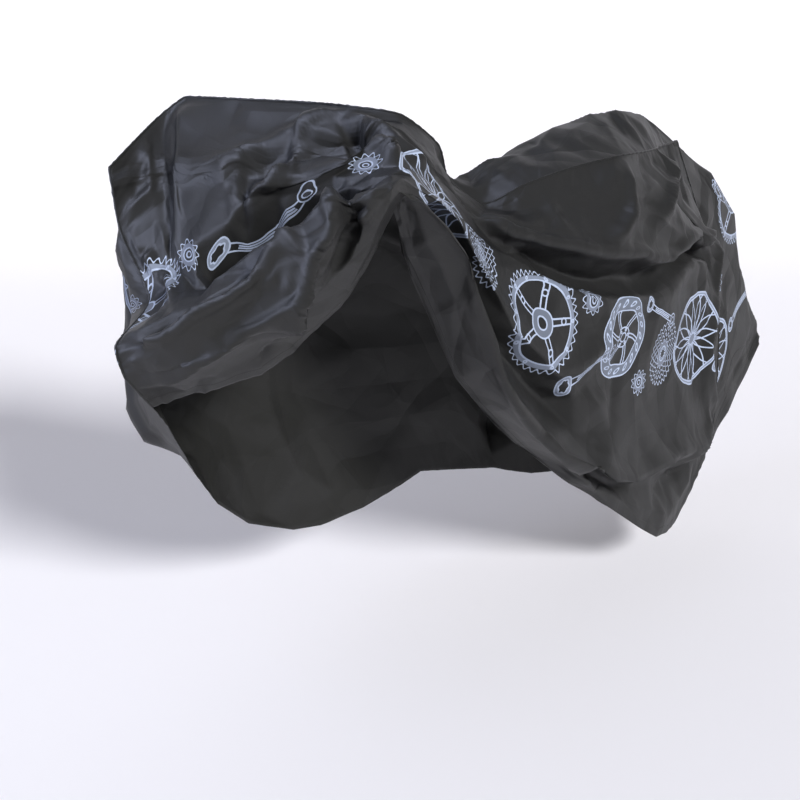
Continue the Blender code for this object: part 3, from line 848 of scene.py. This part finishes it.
def laid_flat(points, plain, along, down):
    """The net's places in the plane, in millimetres, with the sheet laid flat and its top seam straight."""
    picks_along = np.linspace(0, len(along) - 1, round(along[-1] / NET_CELL) + 1).round().astype(int)
    picks_down = np.linspace(0, len(down) - 1, round(down[-1] / NET_CELL) + 1).round().astype(int)
    run = lengths_between(points, 0, picks_along, picks_down)
    fall = lengths_between(points, 1, picks_along, picks_down)

    # the diagonals' lengths follow from the sides, and from the corner that the bare panel has there
    net = plain[np.ix_(picks_along, picks_down)]
    across = np.diff(net, axis=0)
    downward = np.diff(net, axis=1)
    a = (across[:, 1:] + across[:, :-1]) / 2
    d = (downward[1:] + downward[:-1]) / 2
    cosine = (a * d).sum(axis=2) / np.linalg.norm(a, axis=2) / np.linalg.norm(d, axis=2)
    wide = (run[:, 1:] + run[:, :-1]) / 2
    tall = (fall[1:] + fall[:-1]) / 2
    square = wide**2 + tall**2
    product = 2 * wide * tall * cosine

    flat = np.zeros((*net.shape[:2], 2))
    flat[1:, :, 0] = run.mean(axis=1).cumsum()[:, None]
    flat[:, 1:, 1] = fall.cumsum(axis=1)
    flat[1:, 0, 0] = run[:, 0].cumsum()
    springs = (  # the points that each kind of spring joins, and its true length
        (slice(None, -1), slice(None), slice(1, None), slice(None), run),
        (slice(None), slice(None, -1), slice(None), slice(1, None), fall),
        (slice(None, -1), slice(None, -1), slice(1, None), slice(1, None), np.sqrt(square + product)),
        (slice(1, None), slice(None, -1), slice(None, -1), slice(1, None), np.sqrt(square - product)),
    )
    for _turn in range(FLATTEN_ROUNDS):
        push = np.zeros_like(flat)
        for i, j, k, m, rest in springs:
            gap = flat[k, m] - flat[i, j]
            size = np.linalg.norm(gap, axis=2)
            pull = gap * ((size - rest) / np.maximum(size, 1e-6))[:, :, None]
            push[i, j] += pull
            push[k, m] -= pull
        push[:, 0, 1] = 0.0
        flat += FLATTEN_STEP / 2 * push
        flat[:, 0, 1] = 0.0
    return flat, along[picks_along], down[picks_down]


def cloth_metres(points, plain, along, down, side):
    """U and V for each point of the grid, in metres of cloth."""
    flat, net_along, net_down = laid_flat(points, plain, along, down)
    uv = surface(flat, net_along, net_down, along, down, tension=1.0)
    at_sections = np.interp(range(len(marks_along)), *zip(*TUCKED_CLOTH))
    tucked = through(along, marks_along, at_sections[:, None, None])[:, :, 0]
    v = uv[:, :, 1] + tucked * smooth(uv[:, :, 1] / TUCKED_BY)
    return np.stack((-side * uv[:, :, 0], -v), axis=2) * MM


def add_uv(obj, name, places, uv):
    """Write the grid's UVs to the mesh."""
    layer = obj.data.uv_layers.new(name=name)
    corners = np.empty(len(obj.data.loops), dtype=np.int32)
    obj.data.loops.foreach_get("vertex_index", corners)
    layer.data.foreach_set("uv", uv[places[corners, 0], places[corners, 1]].ravel())


print("net of", NET_CELL, "mm, laid flat in", FLATTEN_ROUNDS, "rounds")

# %% [markdown]
# ## Coated polyester
#
# The cover is cut from 190T polyester taffeta with a polyurethane coat. The coat fills the weave, so the
# cloth is black with a satin gloss, and shows each bend as a soft streak. It is a dielectric with an IOR
# near 1.5, but the coat is matted, so its specular level is brought down. What is too small for the mesh
# is bump, in three layers: straight fold lines that come and go, as a cover keeps them from its bag, the
# fine crinkle that folding leaves, and the weave.

# %% Fold lines
FOLD_LINES = (
    # direction in degrees, millimetres between the lines, how far the cloth leans between them
    (4.0, 105.0, 0.07),
    (88.0, 82.0, 0.06),
    (38.0, 140.0, 0.08),
    (-33.0, 96.0, 0.07),
    (63.0, 170.0, 0.08),
    (-68.0, 125.0, 0.07),
)
WANDER = 70 * MM  # how far a line wanders off its straight course
WANDERS = 2.5  # and how often, in each metre
PATCHES = 5.0  # how often a line comes and goes, in each metre
PATCH_EDGE = (0.45, 0.62)  # the noise at which a line starts, and at which it is whole
PATCH_STEP = 1.7  # each direction reads the noise this much further on, so its patches are its own


def fold_lines(tree, coordinates):
    """Crisp straight creases that come and go, as a height in metres."""
    wander = node(tree, "TexNoise", {"Vector": coordinates, "Scale": WANDERS, "Detail": 1.0})
    placed = node(
        tree,
        "VectorMath",
        {0: wander.outputs["Color"], 1: (WANDER, WANDER, 0.0), 2: coordinates},
        operation="MULTIPLY_ADD",
    )
    total = 0.0
    for number, (turn, space, lean) in enumerate(FOLD_LINES):
        way = (math.cos(math.radians(turn)), math.sin(math.radians(turn)), 0.0)
        across = node(tree, "VectorMath", {0: placed, 1: way}, operation="DOT_PRODUCT")
        wave = node(tree, "Math", {0: across, 1: space * MM}, operation="PINGPONG")
        patches = node(
            tree,
            "TexNoise",
            {"Vector": coordinates, "W": number * PATCH_STEP, "Scale": PATCHES, "Detail": 0.0},
            noise_dimensions="4D",
        )
        share = node(
            tree,
            "MapRange",
            {"Value": patches, "From Min": PATCH_EDGE[0], "From Max": PATCH_EDGE[1], "To Max": lean},
        )
        total = node(tree, "Math", {0: wave, 1: share, 2: total}, operation="MULTIPLY_ADD")
    return total


print(len(FOLD_LINES), "directions of fold lines")

# %% Crinkle and weave
CRINKLE = 22 * MM  # the size of the fine crinkles
CRINKLE_HEIGHT = 1.2 * MM
THREAD = 1.6 * MM  # the drawn thread spacing; the real one is 0.25 mm, too fine to show
WEAVE_HEIGHT = 0.2 * MM
WAVE_BAND = math.pi / 10  # a wave texture at a scale of 1 repeats at this distance, in metres


def cloth_bump(tree, coordinates, strength):
    """Fold lines, crinkles of the given strength, and the weave on top of them. Returns the normal."""
    lines = node(
        tree, "Bump", {"Strength": 1.0, "Distance": 1.0, "Height": fold_lines(tree, coordinates)}
    )
    crinkle = node(
        tree,
        "TexNoise",
        {"Vector": coordinates, "Scale": 1 / CRINKLE, "Detail": 3.0, "Roughness": 0.55, "Distortion": 0.6},
    )
    crinkled = node(
        tree,
        "Bump",
        {"Strength": strength, "Distance": CRINKLE_HEIGHT, "Height": crinkle, "Normal": lines},
    )
    warp, weft = (
        node(
            tree,
            "TexWave",
            {"Vector": coordinates, "Scale": WAVE_BAND / (2 * THREAD), "Distortion": 0.4},
            bands_direction=direction,
        )
        for direction in ("X", "Y")
    )
    weave = node(tree, "Math", {0: warp.outputs["Fac"], 1: weft.outputs["Fac"]}, operation="MULTIPLY")
    return node(
        tree, "Bump", {"Strength": 0.12, "Distance": WEAVE_HEIGHT, "Height": weave, "Normal": crinkled}
    )


print("weave drawn at", round(THREAD / MM, 2), "mm")

# %% The hem
HEM = 18 * MM  # the hem is turned up by this much
HEM_EDGE = 1 * MM  # half the width of the step at its top
HEM_HEIGHT = 0.9 * MM  # the height of the step, as drawn
HEM_STITCH = 15 * MM  # the hem is sewn this far above its fold
STITCH = 4 * MM  # from one stitch to the next
STITCH_LENGTH = 0.75  # the share of that which the thread covers
STITCH_WIDTH = 1.6 * MM
STITCH_DEPTH = 0.7  # how far a stitch draws the cloth in, as a share of the step


def hem_bump(tree, normal):
    """The step at the top of the hem, and the stitches that hold it. Takes and returns the normal."""
    on_hem = node(tree, "UVMap", uv_map="hem")
    parts = node(tree, "SeparateXYZ", {"Vector": on_hem})
    run, rise = parts.outputs["X"], parts.outputs["Y"]
    step = node(
        tree,
        "MapRange",
        {"Value": rise, "From Min": HEM - HEM_EDGE, "From Max": HEM + HEM_EDGE, "To Min": 1.0, "To Max": 0.0},
    )
    line = node(tree, "Math", {0: rise, 1: HEM_STITCH, 2: STITCH_WIDTH / 2}, operation="COMPARE")
    place = node(tree, "Math", {0: run, 1: 1 / STITCH}, operation="MULTIPLY")
    phase = node(tree, "Math", {0: place}, operation="FRACT")
    thread = node(tree, "Math", {0: phase, 1: STITCH_LENGTH}, operation="LESS_THAN")
    sewn = node(tree, "Math", {0: line, 1: thread}, operation="MULTIPLY")
    height = node(tree, "Math", {0: sewn, 1: -STITCH_DEPTH, 2: step}, operation="MULTIPLY_ADD")
    return node(
        tree, "Bump", {"Strength": 1.0, "Distance": HEM_HEIGHT, "Height": height, "Normal": normal}
    )


print("hem", round(HEM / MM), "mm deep, with a stitch each", round(STITCH / MM), "mm")

# %% [markdown]
# ### The print
#
# A band of line drawings in pale ink runs along both panels: wheels, rings and spanners, of our own
# design. U runs forwards on one panel and backwards on the other, so the band is drawn once and wrapped
# along U. All of its motifs turn about a centre, so one recipe in polar measures draws each: rings, which
# may have teeth, then fans of arms and holes that repeat around the centre. A ring is where the distance
# from the centre compares with its radius.

# %% What the motifs are made of, in millimetres
REPEAT = 1880.0  # the length of the band before it starts again
LINE_WIDTH = 2.8  # the real lines are about 2.5 mm wide
LEAN_OVER = 60.0  # an arm that leans turns by its lean over this much of its radius
MOTIFS = {
    # rings: (radius, teeth, tooth height); fills: (from, to, share of the ink)
    # fans: (how many, lean in radians, arms (offset, from, to), holes (at, radius))
    "chainring": dict(
        rings=((84, 36, 3.5), (70, 0, 0), (24, 0, 0), (11, 0, 0)),
        fills=((70, 79, 0.45), (11, 24, 0.3)),
        fans=((5, 0.0, ((5, 24, 70),), ((52, 5.5),)), (10, 0.0, (), ((75, 2.5),))),
    ),
    "rotor": dict(
        rings=((78, 6, 1.5), (56, 6, 1.5), (20, 0, 0), (9, 0, 0)),
        fills=((57, 77, 0.3),),
        fans=((6, 0.5, ((3.5, 20, 56),), ()), (18, 0.9, (), ((67, 4.5),)), (6, 0.0, (), ((15, 2.2),))),
    ),
    "cassette": dict(
        rings=((62, 28, 3.2), (50, 23, 3.2), (39, 18, 3.2), (28, 13, 3.0), (15, 0, 0)),
        fills=((15, 27, 0.35),),
        fans=((12, 0.0, ((0, 8, 15),), ()),),
    ),
    "wheel": dict(
        rings=((92, 0, 0), (86, 0, 0), (12, 0, 0)),
        fills=((86, 92, 0.5), (0, 12, 0.4)),
        fans=((14, 0.35, ((0, 12, 86),), ()), (14, -0.35, ((0, 12, 86),), ())),
    ),
    "spanner": dict(
        rings=((19, 0, 0), (11, 6, 1.2)),
        fills=((11, 19, 0.5),),
        fans=((1, 0.0, ((6.5, 18, 150), (2.0, 34, 134)), ((166, 17), (166, 9))),),
    ),
    "jockey wheel": dict(
        rings=((27, 11, 4.0), (13, 0, 0), (6, 0, 0)),
        fills=((13, 22, 0.4),),
        fans=(),
    ),
}


def motif_group(name, rings, fills, fans):
    """A node group that takes a place in metres about the motif's centre, and gives its share of ink."""
    group = bpy.data.node_groups.new(name, "ShaderNodeTree")
    group.interface.new_socket("Place", in_out="INPUT", socket_type="NodeSocketVector")
    group.interface.new_socket("Ink", in_out="OUTPUT", socket_type="NodeSocketFloat")
    place = node(group, "NodeGroupInput").outputs["Place"]
    parts = node(group, "SeparateXYZ", {"Vector": place})
    radius = node(group, "VectorMath", {0: place}, operation="LENGTH")
    angle = node(group, "Math", {0: parts.outputs["Y"], 1: parts.outputs["X"]}, operation="ARCTAN2")
    half_line = LINE_WIDTH / 2 * MM
    shares = []
    for ring, teeth, tooth_height in rings:
        edge = radius
        if teeth:
            turned = node(group, "Math", {0: angle, 1: float(teeth)}, operation="MULTIPLY")
            wave = node(group, "Math", {0: turned}, operation="SINE")
            height = {0: wave, 1: tooth_height * MM, 2: radius}
            edge = node(group, "Math", height, operation="MULTIPLY_ADD")
        line = {0: edge, 1: ring * MM, 2: half_line}
        shares.append(node(group, "Math", line, operation="COMPARE"))
    for start, end, share in fills:
        middle, half = (start + end) / 2 * MM, (end - start) / 2 * MM
        inside = node(group, "Math", {0: radius, 1: middle, 2: half}, operation="COMPARE")
        shares.append(node(group, "Math", {0: inside, 1: share}, operation="MULTIPLY"))
    for count, lean, arms, holes in fans:
        bent = {0: radius, 1: lean / (LEAN_OVER * MM), 2: angle}
        leaning = node(group, "Math", bent, operation="MULTIPLY_ADD")
        one_part = {0: leaning, 1: math.pi / count, 2: -math.pi / count}
        fanned = node(group, "Math", one_part, operation="WRAP")
        across = []
        for turn in ("COSINE", "SINE"):
            way = node(group, "Math", {0: fanned}, operation=turn)
            across.append(node(group, "Math", {0: way, 1: radius}, operation="MULTIPLY"))
        out, aside = across
        away = node(group, "Math", {0: aside}, operation="ABSOLUTE")
        for offset, start, end in arms:
            middle, half = (start + end) / 2 * MM, (end - start) / 2 * MM
            line = node(group, "Math", {0: away, 1: offset * MM, 2: half_line}, operation="COMPARE")
            reach = node(group, "Math", {0: out, 1: middle, 2: half}, operation="COMPARE")
            shares.append(node(group, "Math", {0: line, 1: reach}, operation="MULTIPLY"))
        spot = node(group, "CombineXYZ", {"X": out, "Y": aside})
        for at, size in holes:
            centre = (at * MM, 0.0, 0.0)
            far = node(group, "VectorMath", {0: spot, 1: centre}, operation="DISTANCE")
            rim = {0: far, 1: size * MM, 2: half_line}
            shares.append(node(group, "Math", rim, operation="COMPARE"))
    total = shares[0]
    for share in shares[1:]:
        total = node(group, "Math", {0: total, 1: share}, operation="MAXIMUM")
    node(group, "NodeGroupOutput", {"Ink": total})
    return group


for name, recipe in MOTIFS.items():
    motif_group(name, **recipe)
print(len(MOTIFS), "motifs:", ", ".join(MOTIFS))

# %% The band
BAND = (
    # motif, how far along and down from the top seam in millimetres, turn in degrees, scale
    ("chainring", 105, 405, 10, 1.0),
    ("jockey wheel", 222, 372, 0, 0.9),
    ("spanner", 292, 384, 4, 0.95),
    ("jockey wheel", 545, 390, 0, 0.9),
    ("wheel", 700, 392, 5, 1.0),
    ("cassette", 865, 395, 0, 0.9),
    ("chainring", 1045, 410, 10, 1.0),
    ("spanner", 1130, 500, 28, 0.85),
    ("jockey wheel", 1160, 350, 0, 0.9),
    ("rotor", 1290, 402, 25, 1.0),
    ("spanner", 1380, 335, -20, 0.75),
    ("jockey wheel", 1388, 485, 15, 0.8),
    ("cassette", 1485, 440, 0, 0.95),
    ("wheel", 1640, 430, 5, 1.0),
    ("spanner", 1735, 495, -35, 0.8),
    ("jockey wheel", 1800, 360, 0, 1.0),
)


def printed_band(tree, coordinates):
    """The share of ink at each place of the cloth."""
    parts = node(tree, "SeparateXYZ", {"Vector": coordinates})
    wrapped = {0: parts.outputs["X"], 1: REPEAT * MM, 2: 0.0}
    along = node(tree, "Math", wrapped, operation="WRAP")
    place = node(tree, "CombineXYZ", {"X": along, "Y": parts.outputs["Y"]})
    total = None
    for motif, at, below, turn, scale in BAND:
        laid_out = {
            "Vector": place,
            "Location": (at * MM, -below * MM, 0.0),
            "Rotation": (0.0, 0.0, math.radians(turn)),
            "Scale": (scale, scale, 1.0),
        }
        centred = node(tree, "Mapping", laid_out, vector_type="TEXTURE")
        ink = node(tree, "Group", node_tree=bpy.data.node_groups[motif])
        tree.links.new(centred.outputs["Vector"], ink.inputs["Place"])
        if total is not None:
            ink = node(tree, "Math", {0: total, 1: ink}, operation="MAXIMUM")
        total = ink
    return total


print(len(BAND), "places in each", REPEAT, "mm of the band")

# %% Cloth, with its print outside
CLOTH_BLACK = linear("#262626")
CLOTH_INSIDE = linear("#252524")
INK = linear("#a3aec4")

outside, tree, shader = material(
    "coated polyester taffeta", Base_Color=CLOTH_BLACK, Roughness=0.54, Specular_IOR_Level=0.3
)
cloth = node(tree, "UVMap", uv_map="cloth").outputs["UV"]
sewn = hem_bump(tree, cloth_bump(tree, cloth, 0.35))
tree.links.new(sewn.outputs["Normal"], shader.inputs["Normal"])
ink = {"Factor": printed_band(tree, cloth), "A": CLOTH_BLACK, "B": INK}
inked = node(tree, "Mix", ink, data_type="RGBA")
tree.links.new(inked.outputs["Result"], shader.inputs["Base Color"])
print(outside.name, "with", len(tree.nodes), "nodes")

inside, tree, shader = material(
    "polyester taffeta, uncoated side", Base_Color=CLOTH_INSIDE, Roughness=0.65, Specular_IOR_Level=0.3
)
cloth = node(tree, "UVMap", uv_map="cloth").outputs["UV"]
tree.links.new(cloth_bump(tree, cloth, 0.2).outputs["Normal"], shader.inputs["Normal"])
print(inside.name, "with", len(tree.nodes), "nodes")

# %% The two panels as pieces
CLOTH_THICKNESS = 0.6 * MM
for panel, (_table, side) in SIDES.items():
    obj, places = grid_object(f"{panel}_side_panel", fine[panel], side, outside, inside)
    metres = cloth_metres(fine[panel], bare[panel], fine_along, fine_down, side)
    add_uv(obj, "cloth", places, metres)
    add_uv(obj, "hem", places, metres - metres[:, -1:] * (0.0, 1.0))
    obj.data.shade_smooth()
    solidify = obj.modifiers.new("thickness", "SOLIDIFY")
    solidify.thickness = CLOTH_THICKNESS
    solidify.offset = -1.0
    solidify.material_offset = 1
    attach(obj, "root")
    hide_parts(f"panel_{panel}")
    print(obj.name, "with", len(obj.data.polygons), "cells, and", f"{np.ptp(metres[:, :, 0]):.2f} m of cloth")

# %% [markdown]
# ### The seam
#
# The two panels meet edge to edge. Inside, their allowances are sewn together, and outside the seam stands
# up as a thin puckered rib from the front hem over the top to the rear hem.

# %% The rib of the seam
RIB_RADIUS = 1.9
RIB_WANDER = 0.5  # how much the radius swells and shrinks between stitches
RIB_WAVES = (9.0, 30.0)  # in waves of these lengths, in millimetres
RIB_SIDES = 8
RIB_STEP = 4.0  # millimetres between its rings


def seam_path():
    """The edge that both panels share, from the front hem over the top to the rear hem."""
    front, top, rear = fine["near"][0, ::-1], fine["near"][1:-1, 0], fine["near"][-1]
    points = np.concatenate((front, top, rear))
    length = np.concatenate(([0.0], np.cumsum(np.linalg.norm(np.diff(points, axis=0), axis=1))))
    stops = np.linspace(0.0, length[-1], round(length[-1] / RIB_STEP) + 1)
    return stops, np.stack([np.interp(stops, length, points[:, i]) for i in range(3)], axis=1)


stops, path = seam_path()
bm = bmesh.new()
bmesh.ops.create_grid(bm, x_segments=len(path) - 1, y_segments=RIB_SIDES, size=1.0)
run = np.gradient(path, axis=0)
run /= np.linalg.norm(run, axis=1, keepdims=True)
out = np.cross(run, (0.0, 1.0, 0.0))
out /= np.linalg.norm(out, axis=1, keepdims=True)
aside = np.cross(run, out)
radius = RIB_RADIUS + RIB_WANDER * ripple(stops, 3, *RIB_WAVES)
for v in bm.verts:
    i = round((v.co.x + 1) / 2 * (len(path) - 1))
    turn = round((v.co.y + 1) / 2 * RIB_SIDES) % RIB_SIDES * 2 * math.pi / RIB_SIDES
    v.co = Vector(path[i] + radius[i] * (math.cos(turn) * out[i] + math.sin(turn) * aside[i])) * MM - REST
bmesh.ops.remove_doubles(bm, verts=bm.verts, dist=1e-6)
bmesh.ops.holes_fill(bm, edges=bm.edges, sides=0)
bmesh.ops.recalc_face_normals(bm, faces=bm.faces)
rib_cloth, _tree, _shader = material(
    "polyester taffeta, sewn edge", Base_Color=CLOTH_BLACK, Roughness=0.5, Specular_IOR_Level=0.3
)
rib = add_object("seam_rib", bm, rib_cloth)
rib.data.shade_smooth()
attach(rib, "root")
print("seam", f"{stops[-1] / 1000:.2f} m long,", len(rib.data.polygons), "faces")
